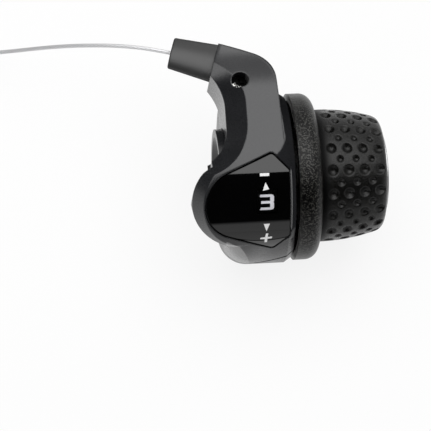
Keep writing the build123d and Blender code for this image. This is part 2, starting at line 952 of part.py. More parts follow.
def grip_radius_at(x):
    """Radius of the grip's outside at a place along the bar."""
    points = grip_profile()
    for (x_start, r_start), (x_end, r_end) in zip(points, points[1:]):
        if x <= x_end:
            return r_start + (r_end - r_start) * (x - x_start) / (x_end - x_start)
    return grip_end_radius


def dimple_cutter(x, angle, radius, depth):
    """Many-sided dimple of the grip, narrower at its bottom."""
    lean = math.atan((radius - dimple_bottom_share * radius) / depth)
    over = part_clearance * math.tan(lean)
    mouth = RegularPolygon(radius + over, dimple_sides)
    height = depth + part_clearance
    cutter = extrude(mouth, amount=height, taper=math.degrees(lean))
    place = Pos(x, 0, grip_radius_at(x) + part_clearance) * Rot(180, 0, 0)
    return turned_about(angle) * place * cutter


def make_grip_sleeve():
    bore = hub_radius + run_clearance
    outside = grip_profile()
    grip = turned([(outside[0][0], bore), *outside, (outside[-1][0], bore)])
    row_step = 360 / grip_rows
    first = ring_right + grip_first_dimple
    cutters = []
    for row in range(grip_rows):
        angle = grip_row_angle + row * row_step
        for place in range(grip_dimples_per_row):
            x = first + place * grip_dimple_pitch
            cutters.append(dimple_cutter(x, angle, dimple_radius, dimple_depth))
        for place in range(grip_dimples_per_row - 1):
            x = first + (place + 0.5) * grip_dimple_pitch
            between = angle + row_step / 2
            cutters.append(
                dimple_cutter(x, between, small_dimple_radius, small_dimple_depth)
            )
    return grip - cutters


def make_gear_indicator():
    start = digit_angle - scale_margin_angle
    end = digit_angle + (gear_count - 1) * gear_angle + scale_margin_angle
    ring = bar_ring(scale_inner, scale_outer, hub_left, disc_left)
    reach = 2 * housing_radius
    half = span_box((-reach, -reach, -reach), (reach, 0, reach))
    after_start = turned_about(start) * half
    before_end = turned_about(end - 180) * half
    return ring & after_start & before_end


def make_thrust_washer():
    return bar_ring(
        drum_bore, thrust_washer_radius, web_right + run_clearance, hub_left - run_clearance
    )


def spring_height():
    """Upper side of the spring's flat part."""
    return -(click_wheel_radius + spring_drop)


def spring_pad():
    """Pad of the base under the spring's fixed end."""
    middle = (pulley_right + click_right) / 2
    half = spring_width / 2
    low = rivet_y - rivet_head_diameter / 2 - part_clearance
    pad = span_box(
        (middle - half, low, -housing_radius),
        (middle + half, spring_root, spring_height() - spring_thickness),
    )
    return pad & barrel_form(housing_wall / 2)


def rivet_hole():
    """Hole for the spring's rivet."""
    middle = (pulley_right + click_right) / 2
    return upright(
        rivet_diameter / 2 + run_clearance, middle, rivet_y, -cavity_radius, spring_height()
    )


def make_click_spring():
    nose = -(click_wheel_radius + part_clearance / 2)
    flat = spring_height()
    upper = [
        (spring_root, flat),
        (spring_nose_half, flat),
        (spring_nose_half / 4, nose),
        (-spring_nose_half / 4, nose),
        (-spring_nose_half, flat),
        (-spring_tail, flat),
    ]
    lower = [(y, z - spring_thickness) for y, z in reversed(upper)]
    middle = (pulley_right + click_right) / 2
    strip = Plane.YZ * make_face(Polyline(*upper, *lower, close=True))
    spring = Pos(middle - spring_width / 2, 0, 0) * extrude(strip, amount=spring_width)
    hole = upright(
        rivet_diameter / 2 + run_clearance, middle, rivet_y, flat - cut_margin, flat + cut_margin
    )
    return spring - hole


def make_spring_rivet():
    middle = (pulley_right + click_right) / 2
    flat = spring_height()
    head = upright(
        rivet_head_diameter / 2, middle, rivet_y, flat, flat + rivet_head_height
    )
    foot = -cavity_radius + run_clearance
    return head + upright(rivet_diameter / 2, middle, rivet_y, foot, flat)


def make_end_washer():
    return bar_ring(drum_bore, end_washer_radius, end_washer_left, end_washer_right)


def make_retaining_ring():
    inner = sleeve_radius - snap_groove_depth + run_clearance
    ring = bar_ring(inner, snap_ring_radius, snap_ring_left, snap_ring_right)
    opening = math.radians(snap_ring_opening / 2)
    far = 2 * snap_ring_radius
    wedge = make_face(
        Polyline(
            (0, 0),
            (-far * math.sin(opening), -far * math.cos(opening)),
            (far * math.sin(opening), -far * math.cos(opening)),
            close=True,
        )
    )
    cutter = Pos(ring_right, 0, 0) * extrude(Plane.YZ * wedge, amount=2 * grip_length)
    return ring - cutter


def free_points():
    """The free wire's route, from the outlet to the coil."""
    above_coil = coil_bundle_radius + wire_diameter / 2 + run_clearance
    entry = Vector(coil_x, coil_entry_y, coil_height + above_coil)
    return [wire_exit, *[Vector(*p) for p in free_route], entry]


def bend_radii(points):
    """Radius at each corner, as large as its two runs allow."""
    radii = []
    for before, here, after in zip(points, points[1:], points[2:]):
        run_in, run_out = here - before, after - here
        turn = math.radians(run_in.get_angle(run_out))
        shorter = min(run_in.length, run_out.length)
        radii.append(bend_share * shorter / math.tan(turn / 2))
    return radii


def make_inner_wire_free():
    points = free_points()
    radii = bend_radii(points)
    print("wire radii", [round(r, 1) for r in radii])
    path = FilletPolyline(*points, radius=radii)
    wire = swept(path, wire_diameter / 2)
    expected = math.pi * wire_diameter**2 / 4 * path.length
    print("wire length", round(path.length, 1), "volume share", round(wire.volume / expected, 4))
    return wire


def coil_place():
    """Middle of the coil on the floor."""
    return Pos(coil_x, coil_entry_y - coil_ring_radius, coil_height)


def make_inner_wire_coil():
    return coil_place() * Torus(coil_ring_radius, coil_bundle_radius)


def make_coil_ties():
    inner = coil_bundle_radius + tie_clearance
    band = Circle(inner + tie_thickness) - Circle(inner)
    ties = []
    for angle in tie_angles:
        tie = extrude(band, amount=tie_width / 2, both=True)
        tie = Pos(coil_ring_radius, 0, 0) * Rot(90, 0, 0) * tie
        ties.append(coil_place() * Rot(0, 0, angle) * tie)
    return Compound(children=ties)


os.makedirs("parts", exist_ok=True)
pieces = {
    "base_housing": make_base_housing,
    "top_cover": make_top_cover,
    "window_lens": make_window_lens,
    "window_mask": make_window_mask,
    "cover_screw": make_cover_screw,
    "base_screw": make_base_screw,
    "clamp_bolt": make_clamp_bolt,
    "clamp_nut": make_clamp_nut,
    "arm_plate": make_arm_plate,
    "cable_outlet": make_cable_outlet,
    "cable_guide": make_cable_guide,
    "click_spring": make_click_spring,
    "spring_rivet": make_spring_rivet,
    "end_washer": make_end_washer,
    "retaining_ring": make_retaining_ring,
    "thrust_washer": make_thrust_washer,
    "twist_drum": make_twist_drum,
    "grip_sleeve": make_grip_sleeve,
    "gear_indicator": make_gear_indicator,
    "cable_nipple": make_cable_nipple,
    "inner_wire_wound": make_inner_wire_wound,
    "inner_wire_guided": make_inner_wire_guided,
    "inner_wire_free": make_inner_wire_free,
    "inner_wire_coil": make_inner_wire_coil,
    "coil_ties": make_coil_ties,
}
for name, make in pieces.items():
    export_step(make(), f"parts/{name}.step")
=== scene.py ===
import math

import bmesh
import bpy
import numpy
from mathutils import Matrix, Vector


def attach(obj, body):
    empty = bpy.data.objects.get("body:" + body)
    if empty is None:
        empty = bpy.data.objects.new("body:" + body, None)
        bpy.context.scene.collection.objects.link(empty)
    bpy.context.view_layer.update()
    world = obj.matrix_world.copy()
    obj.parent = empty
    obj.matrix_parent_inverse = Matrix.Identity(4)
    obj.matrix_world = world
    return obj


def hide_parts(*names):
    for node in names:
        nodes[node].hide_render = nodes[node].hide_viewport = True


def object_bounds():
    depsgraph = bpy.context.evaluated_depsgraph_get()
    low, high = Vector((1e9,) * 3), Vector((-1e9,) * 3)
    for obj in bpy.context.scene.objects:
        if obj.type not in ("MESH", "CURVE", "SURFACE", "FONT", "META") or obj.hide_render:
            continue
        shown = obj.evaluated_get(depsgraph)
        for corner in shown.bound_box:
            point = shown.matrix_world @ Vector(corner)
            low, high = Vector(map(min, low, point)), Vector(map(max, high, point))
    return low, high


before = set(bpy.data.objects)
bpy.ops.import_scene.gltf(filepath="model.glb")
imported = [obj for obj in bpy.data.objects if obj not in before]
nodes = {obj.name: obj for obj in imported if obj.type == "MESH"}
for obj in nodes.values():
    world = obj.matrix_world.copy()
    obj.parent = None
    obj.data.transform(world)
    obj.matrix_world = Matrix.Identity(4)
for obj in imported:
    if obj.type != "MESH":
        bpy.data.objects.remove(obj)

MM = 0.001
cad_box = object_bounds()

# Sizes repeated from the part, in millimetres and degrees
lens_radius = 25.7
scale_radius = 23.0
grip_root_x, grip_tip_x, grip_end_x = 19.2, 36.7, 39.5
grip_root_radius, grip_middle_radius = 20.0, 19.6
grip_tip_radius, grip_end_radius, grip_bore_radius = 17.8, 15.0, 14.3
dimple_rows, dimple_first_angle = 18, 12.6
dimple_first_x, dimple_pitch, dimples_per_row = 22.6, 4.77, 4
large_dimple = (1.62, 1.05)
small_dimple = (1.1, 0.75)
screw_middle = (-3.35, 23.45)
outlet_seam = Vector((-9.9, 32.4, 14.0))
outlet_angle, outlet_length = 163.0, 13.2
wire_diameter = 1.2
wire_length_m = 1.71
wire_route = [
    (-27.9, 37.75, 13.8),
    (-33.8, 39.2, 12.6),
    (-39.6, 40.6, 10.6),
    (-45.6, 42.0, 7.6),
    (-51.6, 43.6, 3.6),
    (-57.6, 45.2, -1.2),
    (-63.6, 46.8, -6.6),
    (-69.8, 48.3, -12.0),
    (-76.4, 49.4, -16.0),
    (-83.4, 49.9, -18.2),
]
coil_middle = Vector((-97.0, 35.0, -22.1))

# Directions that shading normals are turned to; the rider's dark card is seen in dark_way
dark_way = (0.0, -0.5, 0.866)
upward_way = (0.0, 0.0, 1.0)
elbow_way = (0.0, 0.34, 0.94)
outlet_way = (0.1, 0.55, 0.83)
chin_left_way = (-0.68, -0.73, -0.05)
chin_front_way = (0.15, -0.95, -0.25)

# Chin of the cover: pairs are the start and end of a fade, in millimetres or degrees
chin_top = (60.0, 63.0)
chin_tip_turn = 91.3
ridge_x, ridge_lean, ridge_curve = -1.83, 0.1, 5.4e-6
ridge_fade = (0.0, 0.3)
chin_end = (-10.25, -9.2)
chin_left_share = 0.9
chin_front_share, chin_front_growth = 0.3, 0.04
seam_turn, seam_slant = 95.6, 1.55
seam_fade, seam_start = (0.4, 1.3), (-1.5, -0.3)
seam_share = 0.9

# Shoulder of the cover beside the ring
shoulder_turn, shoulder_x, shoulder_least_x = -14.0, 8.2, 3.5
shoulder_curve = 0.0172
shoulder_width, shoulder_widening, widest_after = 0.3, 0.13, 22.0
shoulder_end = (50.0, 58.0)
shoulder_share = 0.88
rim_line_x, rim_line_fade, rim_line_start = 9.4, (0.12, 0.3), (8.0, 14.0)

# Arm of the cover: fades over parts of the normal and over the way along the arm
wall_upright, wall_left, wall_start = (0.1, 0.25), (0.7, 0.85), (8.0, 20.0)
outer_edge_mm = 1.6
outer_x, outer_y = 0.5, 0.8
outer_fade, ring_side_fade, outer_start = (0.3, 0.6), (-0.15, 0.1), (6.0, 12.0)
outer_share = 0.85
bevel_upward, bevel_end = (0.3, 0.5), (19.0, 28.0)
bevel_share = 0.6

# Metallic share and colour of the painted reflection, a paler grey, on the places that catch more
# light: the chin's left facet and the arm's wall
facet_painted_reflection, wall_painted_reflection = 0.35, 0.16
painted_reflection_grey = (0.26, 0.26, 0.26)

black = (0.0, 0.0, 0.0)
white = (1.0, 1.0, 1.0, 1.0)


class Value:
    """A socket of a finish that takes part in arithmetic."""

    def __init__(self, finish, socket):
        self.finish = finish
        self.socket = socket

    def _math(self, operation, *values):
        settings = {"operation": operation}
        return self.finish.node("ShaderNodeMath", settings, dict(enumerate(values)))

    def __add__(self, other):
        return self._math("ADD", self, other)

    def __radd__(self, other):
        return self._math("ADD", other, self)

    def __sub__(self, other):
        return self._math("SUBTRACT", self, other)

    def __rsub__(self, other):
        return self._math("SUBTRACT", other, self)

    def __mul__(self, other):
        return self._math("MULTIPLY", self, other)

    def __rmul__(self, other):
        return self._math("MULTIPLY", other, self)

    def __truediv__(self, other):
        return self._math("DIVIDE", self, other)

    def __rtruediv__(self, other):
        return self._math("DIVIDE", other, self)

    def __abs__(self):
        return self._math("ABSOLUTE", self)

    def at_least(self, other):
        """The larger of the two."""
        return self._math("MAXIMUM", self, other)

    def at_most(self, other):
        """The smaller of the two."""
        return self._math("MINIMUM", self, other)

    def sine(self):
        """Sine of an angle in radians."""
        return self._math("SINE", self)

    def angle_from(self, other):
        """Angle in radians of this part over the other part."""
        return self._math("ARCTAN2", self, other)


class Finish:
    """A material, or the surround, built from nodes."""

    def __init__(self, name, surround=None):
        self.material = surround or bpy.data.materials.new(name)
        self.material.use_nodes = True
        self.tree = self.material.node_tree
        self.tree.nodes.clear()
        kind = "ShaderNodeOutputWorld" if surround else "ShaderNodeOutputMaterial"
        self.output = self.tree.nodes.new(kind)

    def node(self, kind, settings=None, values=None, output=0):
        """Adds a node, sets it up and gives one of its outputs."""
        made = self.tree.nodes.new(kind)
        for name, setting in (settings or {}).items():
            setattr(made, name, setting)
        for key, value in (values or {}).items():
            if isinstance(value, Value):
                self.tree.links.new(value.socket, made.inputs[key])
            else:
                made.inputs[key].default_value = value
        return Value(self, made.outputs[output])

    def place(self):
        """Place on the part, in metres."""
        return self.node("ShaderNodeTexCoord", output="Object")

    def along(self, axis, vector=None):
        """One part of a vector, or of the place on the part."""
        return self.node("ShaderNodeSeparateXYZ", None, {0: vector or self.place()}, output=axis)

    def turn(self):
        """Angle about the bar in degrees, 0 on top and growing towards the rider."""
        return (0 - self.along("Y")).angle_from(self.along("Z")) * math.degrees(1.0)

    def noise(self, size_mm, detail=2.0, roughness=0.5):
        """Noise whose patches are about that many millimetres wide, from 0 to 1."""
        return self.node(
            "ShaderNodeTexNoise",
            None,
            {
                "Vector": self.place(),
                "Scale": 1 / (size_mm * MM),
                "Detail": detail,
                "Roughness": roughness,
            },
        )

    def grain(self, size_mm):
        """Noise with fine detail, for a moulded or plated skin."""
        return self.noise(size_mm, detail=3.0, roughness=0.6)

    def blend(self, share, first, second):
        """Colour between two colours."""
        first = first if isinstance(first, Value) else (*first, 1.0)
        second = second if isinstance(second, Value) else (*second, 1.0)
        settings = {"data_type": "RGBA"}
        return self.node("ShaderNodeMix", settings, {0: share, 6: first, 7: second}, output=2)

    def step(self, value, low, high):
        """0 below low, 1 above high and smooth between."""
        settings = {"interpolation_type": "SMOOTHSTEP"}
        return self.node(
            "ShaderNodeMapRange", settings, {"Value": value, "From Min": low, "From Max": high}
        )

    def relief(self, height, depth_mm, strength=1.0, normal=None):
        """Bump normal from a height that runs from 0 to 1."""
        values = {"Height": height, "Distance": depth_mm * MM, "Strength": strength}
        if normal is not None:
            values["Normal"] = normal
        return self.node("ShaderNodeBump", None, values)

    def bend(self, share, normal, way):
        """Normal turned by a share towards a fixed direction."""
        settings = {"data_type": "VECTOR"}
        mixed = self.node("ShaderNodeMix", settings, {0: share, 4: normal, 5: way}, output=1)
        return self.node("ShaderNodeVectorMath", {"operation": "NORMALIZE"}, {0: mixed})

    def soft_edges(self, radius_mm):
        """Normal that rounds off sharp edges."""
        return self.node("ShaderNodeBevel", {"samples": 6}, {"Radius": radius_mm * MM})

    def surface(self, **values):
        """Principled shader on the output."""
        named = {}
        for name, value in values.items():
            named[name.replace("_", " ").title().replace("Ior", "IOR")] = value
        return self.show(self.node("ShaderNodeBsdfPrincipled", None, named))

    def show(self, shader):
        """Puts a shader on the output."""
        self.tree.links.new(shader.socket, self.output.inputs["Surface"])
        return self.material


def spread(noise, width):
    """Noise moved to run round 0, that wide in all."""
    return (noise - 0.5) * width


def grey(level):
    """Colour with three equal parts."""
    return (level, level, level)


def chin_left(finish):
    """1 on the left facet of the housing's chin, where a paler reflection is painted and the
    normals turn to the left.
    """
    x = finish.along("X") / MM
    turn = finish.turn()
    above_tip = (chin_tip_turn - turn).at_least(0.0)
    square = above_tip * above_tip
    ridge = ridge_x - above_tip * ridge_lean - square * square * ridge_curve
    side = finish.step(ridge - x, *ridge_fade) * finish.step(x, *chin_end)
    return side * finish.step(turn, *chin_top)


def arm_wall(finish, normal):
    """1 on the arm's upright wall above the bar, on the side away from the ring, where a paler
    reflection is painted.
    """
    upright = 1 - finish.step(finish.along("Z", normal), *wall_upright)
    left = finish.step(0 - finish.along("X", normal), *wall_left)
    return upright * left * finish.step(finish.along("Y") / MM, *wall_start)


def arm_edges(finish, normal):
    """Normal with the arm's dark outer edge and its bevel fading out towards the outlet."""
    y = finish.along("Y") / MM
    wide = finish.soft_edges(outer_edge_mm)
    outward = finish.along("X", wide) * outer_x + finish.along("Y", wide) * outer_y
    ring_side = finish.step(finish.along("X", wide), *ring_side_fade)
    outer = finish.step(outward, *outer_fade) * ring_side * finish.step(y, *outer_start)
    upward = finish.step(finish.along("Z", normal), *bevel_upward)
    fading = finish.step(y, *bevel_end) * upward * (1 - outer)
    normal = finish.bend(fading * bevel_share, normal, elbow_way)
    return finish.bend(outer * outer_share, normal, dark_way)


def chin_and_shoulder(finish, normal, left):
    """Normal with the chin's facets and seam and the turned-down shoulder beside the ring."""
    x = finish.along("X") / MM
    turn = finish.turn()
    front = chin_front_share + x * chin_front_growth
    front = front * finish.step(turn, *chin_top) * (1 - left)
    off_seam = abs(turn - seam_turn + x * seam_slant)
    seam = (1 - finish.step(off_seam, *seam_fade)) * finish.step(x, *seam_start)
    behind = (turn - shoulder_turn).at_least(0.0)
    edge_x = (shoulder_x - behind * behind * shoulder_curve).at_least(shoulder_least_x)
    width = behind.at_most(widest_after) * shoulder_widening + shoulder_width
    shoulder = finish.step((x - edge_x) / width, 0.0, 1.0)
    shoulder = shoulder * (1 - finish.step(turn, *shoulder_end))
    line = 1 - finish.step(abs(x - rim_line_x), *rim_line_fade)
    line = line * finish.step(turn, *rim_line_start)
    dark = (shoulder * shoulder_share).at_least(seam * seam_share)
    normal = finish.bend(front, normal, chin_front_way)
    normal = finish.bend(left * chin_left_share, normal, chin_left_way)
    normal = finish.bend(dark, normal, dark_way)
    return finish.bend(shoulder * line, normal, upward_way)


def satin_plastic(name, edge_mm, is_cover=False):
    """Satin plastic with a fine spark-eroded grain; the cover's shows its facets too, by bent
    normals and by a painted reflection, paler and metallic, on the chin's left facet and the arm's
    wall.
    """
    finish = Finish(name)
    grain = finish.grain(0.16)
    patches = finish.noise(9.0)
    mottle = patches * 0.6 + grain * 0.4
    colour = finish.blend(mottle, (0.009, 0.0093, 0.0105), (0.016, 0.0165, 0.0185))
    normal = finish.soft_edges(edge_mm)
    painted_reflection = 0.0
    if is_cover:
        left = chin_left(finish)
        # Painted reflection: a paler metallic grey where the chin's left facet and the arm's wall
        # mirror the pale floor at a grazing angle
        painted_reflection = (left * facet_painted_reflection).at_least(arm_wall(finish, normal) * wall_painted_reflection)
        colour = finish.blend(painted_reflection / facet_painted_reflection, colour, painted_reflection_grey)
        normal = chin_and_shoulder(finish, arm_edges(finish, normal), left)
    return finish.surface(
        base_color=colour,
        metallic=painted_reflection,
        roughness=0.27 + spread(grain, 0.12) + spread(patches, 0.06),
        normal=finish.relief(grain, 0.03, 0.4, normal),
        specular_ior_level=0.5,
    )


def outlet_plastic(name):
    """Satin plastic of the outlet, whose light falls on its lower side."""
    finish = Finish(name)
    grain = finish.grain(0.16)
    normal = finish.bend(0.4, finish.soft_edges(0.3), outlet_way)
    return finish.surface(
        base_color=finish.blend(grain, grey(0.024), grey(0.036)),
        roughness=0.42 + spread(grain, 0.12),
        normal=finish.relief(grain, 0.03, 0.4, normal),
        specular_ior_level=0.5,
    )


def screw_with_painted_glints(name):
    """Screw of blackened steel, near-black also as painted shade of its deep hole, with painted
    glints on one side of its slot.
    """
    finish = Finish(name)
    middle_x, middle_y = screw_middle
    left = middle_x - finish.along("X") / MM
    near = left * 0.7 + middle_y - finish.along("Y") / MM
    # Painted glints: bare metal colour on the head's lower-left, where highlights are painted
    painted_glint = finish.step(finish.noise(0.8, 1.0), 0.5, 0.58) * finish.step(near, 0.2, 0.8)
    return finish.surface(
        base_color=finish.blend(painted_glint, grey(0.002), (0.6, 0.6, 0.58)),
        roughness=0.3 + painted_glint * 0.1,
        metallic=1.0,
    )


def speckled_plastic(name):
    """Coarse moulded grain of the turning ring, with pale peaks and pits darkened by a black
    metallic share as painted shade in the grain's hollows.
    """
    finish = Finish(name)
    grain = finish.noise(0.5, roughness=0.6)
    peaks = finish.step(grain, 0.5, 0.6)
    return finish.surface(
        base_color=finish.blend(peaks, grey(0.0003), (0.026, 0.0255, 0.022)),
        roughness=0.34 + spread(grain, 0.3),
        # Painted shade: the black metallic share in the pits darkens the grain's hollows
        metallic=(1 - peaks) * 0.55,
        normal=finish.relief(grain, 0.16, 1.0, finish.soft_edges(0.3)),
        specular_ior_level=0.34,
    )


def grip_rubber(name):
    """Dark rubber with a fine grain, worn paler patches, painted shade in the grain's pits and a
    dull black root beside the ring that is painted shade.
    """
    finish = Finish(name)
    grain = finish.grain(0.22)
    wear = finish.noise(4.0, 3.0)
    # Painted shade: black with a metallic share and more roughness on the root beside the ring,
    # where the ring's shade falls, and a metallic share in the grain's pits
    painted_root_shade = 1 - finish.step(finish.along("X") / MM, grip_root_x + 0.6, grip_root_x + 4.0)
    painted_pit_shade = 1 - finish.step(grain, 0.42, 0.58)
    mottle = wear * 0.5 + grain * 0.5
    rubber = finish.blend(mottle, (0.001, 0.001, 0.0009), (0.008, 0.0077, 0.007))
    return finish.surface(
        base_color=finish.blend(painted_root_shade, rubber, black),
        metallic=(painted_root_shade * 0.8).at_least(painted_pit_shade * 0.5),
        roughness=0.24 + spread(grain, 0.2) + painted_root_shade * 0.3,
        normal=finish.relief(grain, 0.1, 0.7),
        specular_ior_level=0.29,
    )


def window_gloss(name):
    """Black gloss lens with a clear place over the gear number and a bevelled lower edge."""
    edge_turn, edge_middle_x, edge_curve = 61.4, 1.0, 0.045
    bevel_slope = math.tan(math.radians(14.0))
    arc_mm = math.radians(1.0) * lens_radius
    clear_x, clear_half_width = 2.25, (3.0, 3.1)
    clear_turn, clear_half_turn = 31.5, (8.3, 8.6)
    finish = Finish(name)
    x = finish.along("X") / MM
    turn = finish.turn()
    off_middle = x - edge_middle_x
    past = turn - edge_turn + off_middle * off_middle * edge_curve
    fall = past.at_least(0.0) * arc_mm * bevel_slope
    seam = finish.step(abs(past), 0.15, 0.5)
    across = finish.step(abs(x - clear_x), *clear_half_width)
    down = finish.step(abs(turn - clear_turn), *clear_half_turn)
    haze = finish.noise(6.0)
    return finish.surface(
        base_color=finish.blend(seam, black, (0.0004, 0.0004, 0.0005)),
        roughness=0.035 + haze * 0.03,
        alpha=0.1 + across.at_least(down) * 0.9,
        normal=finish.bend((1 - seam) * 0.8, finish.relief(0 - fall, 1.0), dark_way),
        specular_ior_level=0.42,
    )


def plain_finish(name, dark, pale, roughness, grain_mm, metallic=0.0, gloss=0.5):
    """Even finish with a fine grain."""
    finish = Finish(name)
    grain = finish.grain(grain_mm)
    return finish.surface(
        base_color=finish.blend(grain, dark, pale),
        roughness=roughness + spread(grain, 0.15),
        metallic=metallic,
        normal=finish.relief(grain, 0.01, 0.5, finish.soft_edges(0.12)),
        specular_ior_level=gloss,
    )


def glowing_print(name):
    """White print with a faint painted glow, so that it reads through the dark lens."""
    finish = Finish(name)
    grain = finish.noise(0.3)
    return finish.surface(
        base_color=finish.blend(grain, (0.82, 0.82, 0.84), (0.88, 0.88, 0.9)),
        roughness=0.45 + spread(grain, 0.1),
        # Painted glow: the print shines though it is no lamp
        emission_color=(0.9, 0.9, 1.0, 1.0),
        emission_strength=0.32,
    )


def stranded_steel(name):
    """Twisted strands along the wire's own map."""
    lay_mm, strands = 7.0, 6
    finish = Finish(name)
    uv = finish.node("ShaderNodeTexCoord", output="UV")
    lays = wire_length_m / MM / lay_mm
    turn = (finish.along("Y", uv) + finish.along("X", uv) * lays) * (strands * 2 * math.pi)
    strand = turn.sine() * 0.5 + 0.5
    smear = finish.noise(1.5, 3.0)
    return finish.surface(
        base_color=finish.blend(strand, (0.55, 0.55, 0.56), (0.82, 0.82, 0.83)),
        roughness=0.5 + smear * 0.12,
        metallic=0.5,
        normal=finish.relief(strand, 0.08, 0.5),
    )


def object_from(name, bm, material):
    """Object of the scene from a bmesh."""
    mesh = bpy.data.meshes.new(name)
    bm.to_mesh(mesh)
    bm.free()
    mesh.materials.append(material)
    made = bpy.data.objects.new(name, mesh)
    bpy.context.collection.objects.link(made)
    return made


def new_piece(name, bm, material, body, smooth=True):
    """Piece of the part from a bmesh, riding on a body."""
    bmesh.ops.recalc_face_normals(bm, faces=bm.faces)
    for face in bm.faces:
        face.smooth = smooth
    piece = object_from(name, bm, material)
    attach(piece, body)
    return piece


def place_camera():
    """Camera of the photograph: place, turn and focal length."""
    focal_px, image_px = 2000.0, 431.0
    distance, aim_right, aim_up = 0.606, 0.01045, 0.01115
    roll = math.radians(2.7)
    back = Vector((-0.0872, -0.2578, 0.9622)).normalized()
    level_right = Vector((0.0, 0.966, 0.259)).cross(back).normalized()
    level_up = back.cross(level_right)
    up = level_up * math.cos(roll) + level_right * math.sin(roll)
    right = level_right * math.cos(roll) - level_up * math.sin(roll)
    place = back * distance - right * aim_right - up * aim_up
    data = bpy.data.cameras.new("photo_camera")
    data.sensor_width = 36.0
    data.lens = data.sensor_width * focal_px / image_px
    data.clip_start = 0.01
    camera = bpy.data.objects.new("photo_camera", data)
    turn = Matrix((right, up, back)).transposed().to_4x4()
    camera.matrix_world = Matrix.Translation(place) @ turn
    bpy.context.collection.objects.link(camera)
    bpy.context.scene.camera = camera


def seen_directly(finish):
    """1 for rays that show the background itself."""
    seen = finish.node("ShaderNodeLightPath", output="Is Camera Ray")
    seen = seen.at_least(finish.node("ShaderNodeLightPath", output="Is Glossy Ray"))
    return seen.at_least(finish.node("ShaderNodeLightPath", output="Is Transmission Ray"))


def lay_floor():
    """Wide pale floor under the part that stays white and keeps a soft shadow."""
    half_width, shadow_kept = 4.0, 0.15
    finish = Finish("pale_floor")
    matt = finish.node(
        "ShaderNodeBsdfPrincipled",
        None,
        {
            "Base Color": finish.blend(finish.noise(40.0), grey(0.88), grey(0.9)),
            "Roughness": 1.0,
            "Specular IOR Level": 0.0,
        },
    )
    glow = finish.node("ShaderNodeEmission", None, {"Color": white, "Strength": 1.0})
    share = seen_directly(finish) * (1 - shadow_kept)
    finish.show(finish.node("ShaderNodeMixShader", None, {0: share, 1: matt, 2: glow}))
    bm = bmesh.new()
    bmesh.ops.create_grid(bm, x_segments=4, y_segments=4, size=half_width)
    bmesh.ops.translate(bm, verts=bm.verts, vec=(0.0, 0.0, cad_box[0][2]))
    object_from("floor", bm, finish.material)


def hang_flag(name, corners, thin_out):
    """Dark card beside the set, seen only in reflections, thinning out over its first edge."""
    finish = Finish(name)
    finish.surface(
        base_color=(*grey(0.002), 1.0),
        roughness=0.9,
        alpha=finish.step(finish.along("Z"), *thin_out),
    )
    bm = bmesh.new()
    bm.faces.new([bm.verts.new(corner) for corner in corners])
    flag = object_from(name, bm, finish.material)
    flag.visible_camera = False
    flag.visible_shadow = False
    flag.visible_diffuse = False


def upright_card(start, end, low, high):
    """Corners of an upright card between two places on the floor."""
    return [(*start, low), (*end, low), (*end, high), (*start, high)]


def area_lamp(name, place, aim, size, power):
    """Rectangular lamp that points at a place."""
    data = bpy.data.lights.new(name, "AREA")
    data.shape = "RECTANGLE"
    data.size, data.size_y = size
    data.energy = power
    lamp = bpy.data.objects.new(name, data)
    lamp.location = place
    lamp.rotation_euler = (Vector(aim) - Vector(place)).to_track_quat("-Z", "Y").to_euler()
    bpy.context.collection.objects.link(lamp)


def light_studio():
    """One large overhead softbox, a weak fill, a white surround and dark cards."""
    area_lamp(
        "softbox", place=(0.05, 0.385, 0.8), aim=(0.05, 0.385, 0.0), size=(1.2, 1.03), power=9.5
    )
    area_lamp("fill", place=(-0.5, -0.75, 0.25), aim=(0.0, 0.0, 0.0), size=(0.5, 0.3), power=1.2)
    world = bpy.data.worlds.new("surround")
    bpy.context.scene.world = world
    finish = Finish("surround", world)
    dim = finish.node("ShaderNodeBackground", None, {"Color": white, "Strength": 0.3})
    full = finish.node("ShaderNodeBackground", None, {"Color": white, "Strength": 1.0})
    share = seen_directly(finish)
    finish.show(finish.node("ShaderNodeMixShader", None, {0: share, 1: dim, 2: full}))
    half_width, near_y, far_y, near_z, far_z = 1.2, -0.13, -1.0, 0.8, 0.2
    slanted = [
        (-half_width, near_y, near_z),
        (half_width, near_y, near_z),
        (half_width, far_y, far_z),
        (-half_width, far_y, far_z),
    ]
    hang_flag("rider_flag", slanted, (0.2, 0.27))
    corner = (-0.26, 0.15)
    card_foot, not_thinned = -0.02, (-0.03, -0.02)
    hang_flag("left_flag", upright_card((-0.26, -0.3), corner, card_foot, 0.4), not_thinned)
    hang_flag("front_flag", upright_card(corner, (0.0, 0.32), card_foot, 0.16), not_thinned)
    lying = [(x, y, -0.0255) for x, y in ((-0.2, 0.046), (0.01, 0.046), (0.06, 0.5), (-0.2, 0.5))]
    hang_flag("back_card", lying, (-0.03, -0.026))


def wire_exit():
    """Place where the wire leaves the outlet, in millimetres."""
    way = math.radians(outlet_angle)
    return outlet_seam + Vector((math.cos(way), math.sin(way), 0.0)) * outlet_length


